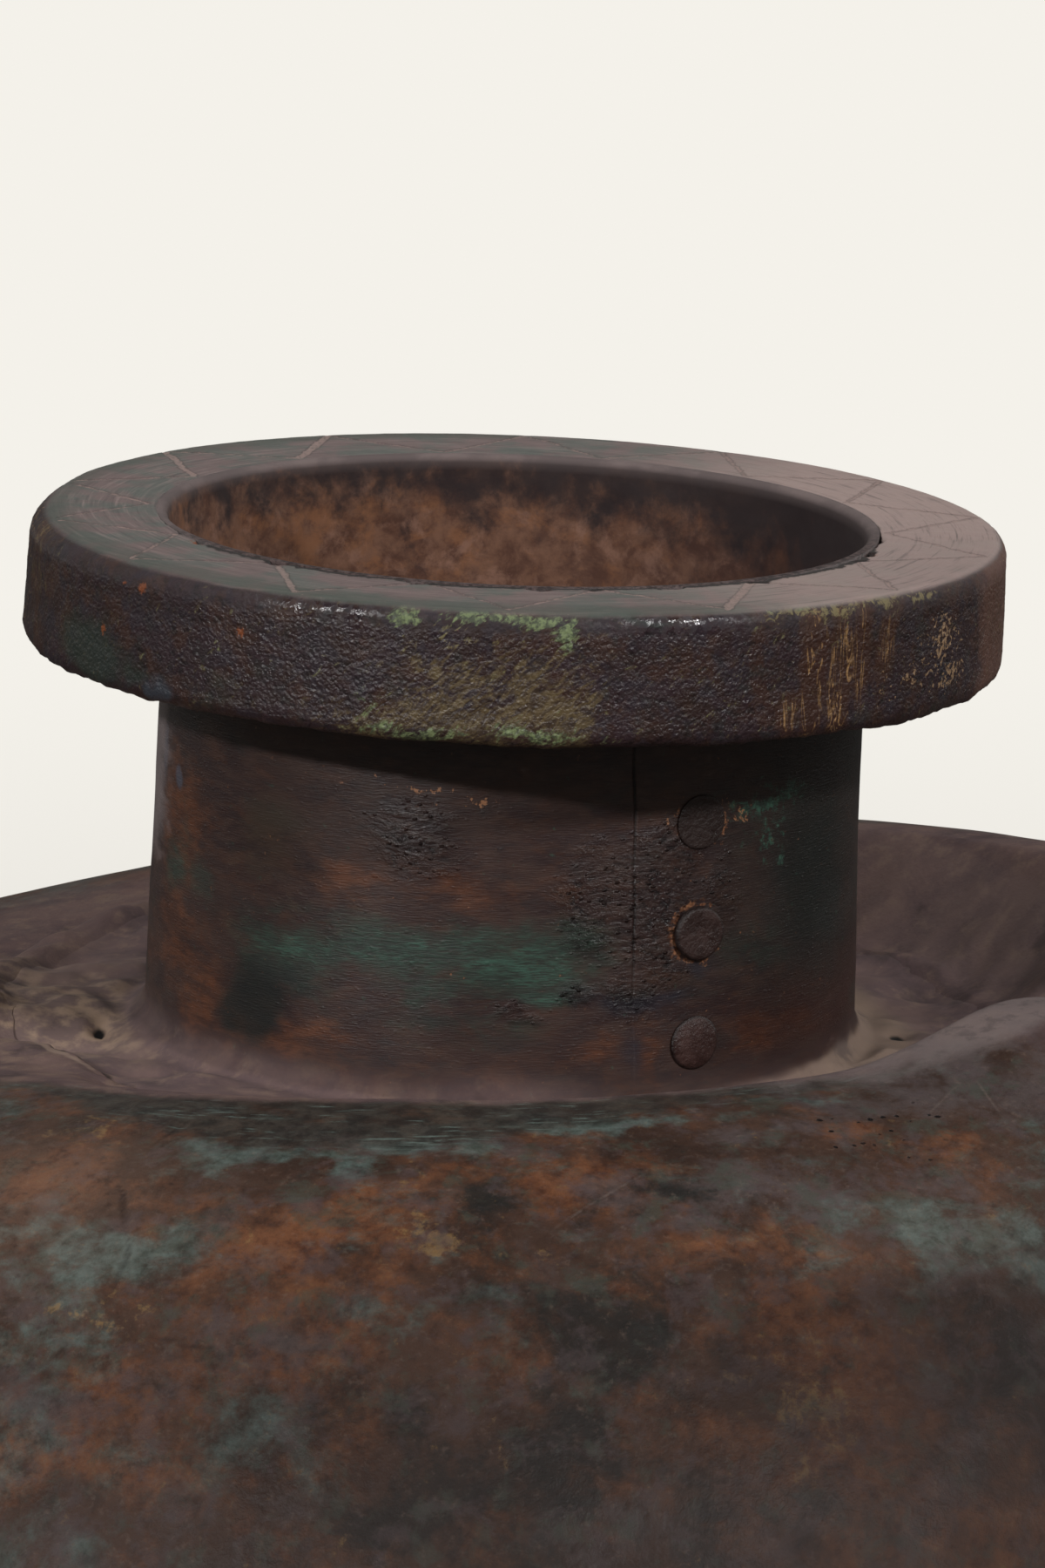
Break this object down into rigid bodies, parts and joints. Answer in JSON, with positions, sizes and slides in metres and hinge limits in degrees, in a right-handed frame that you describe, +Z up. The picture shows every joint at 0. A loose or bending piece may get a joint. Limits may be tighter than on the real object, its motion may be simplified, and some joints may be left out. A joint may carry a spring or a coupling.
{
  "type": "water pot",
  "caption": "Round-bellied pot of riveted copper sheet with a rolled collar neck and a heavy cast rim ring, for fetching and storing water.",
  "frame": {"origin": "centre of the flat base, on the surface the pot stands on", "axes": "+Z up, -Y towards the side with the collar's riveted seam, +X to that side's right"},
  "size_m": [0.494, 0.494, 0.4516],
  "materials": {
    "body_copper": "old hammered copper sheet, brown with rust-orange and blue-green patina",
    "neck_copper": "old copper sheet, dark brown with green and orange streaks round it",
    "cast_bronze": "rough cast bronze, dark purple-brown with verdigris patches",
    "rivet_copper": "peened copper, dark brown, corroded round the edge"
  },
  "bodies": {
    "root": {"bowl_shell": "body_copper", "shoulder_shell": "body_copper", "neck_collar": "neck_copper", "rim_ring": "cast_bronze", "neck_rivet_upper": "rivet_copper", "neck_rivet_middle": "rivet_copper", "neck_rivet_lower": "rivet_copper", "belly_rivet_01": "rivet_copper", "belly_rivet_02": "rivet_copper", "belly_rivet_03": "rivet_copper", "belly_rivet_04": "rivet_copper", "belly_rivet_05": "rivet_copper", "belly_rivet_06": "rivet_copper", "belly_rivet_07": "rivet_copper", "belly_rivet_08": "rivet_copper", "belly_rivet_09": "rivet_copper", "belly_rivet_10": "rivet_copper", "belly_rivet_11": "rivet_copper", "belly_rivet_12": "rivet_copper", "belly_rivet_13": "rivet_copper", "belly_rivet_14": "rivet_copper", "belly_rivet_15": "rivet_copper", "belly_rivet_16": "rivet_copper", "belly_rivet_17": "rivet_copper", "belly_rivet_18": "rivet_copper", "belly_rivet_19": "rivet_copper", "belly_rivet_20": "rivet_copper", "belly_rivet_21": "rivet_copper", "belly_rivet_22": "rivet_copper", "belly_rivet_23": "rivet_copper", "belly_rivet_24": "rivet_copper", "belly_rivet_25": "rivet_copper", "belly_rivet_26": "rivet_copper", "belly_rivet_27": "rivet_copper", "belly_rivet_28": "rivet_copper"}
  },
  "joints": []
}
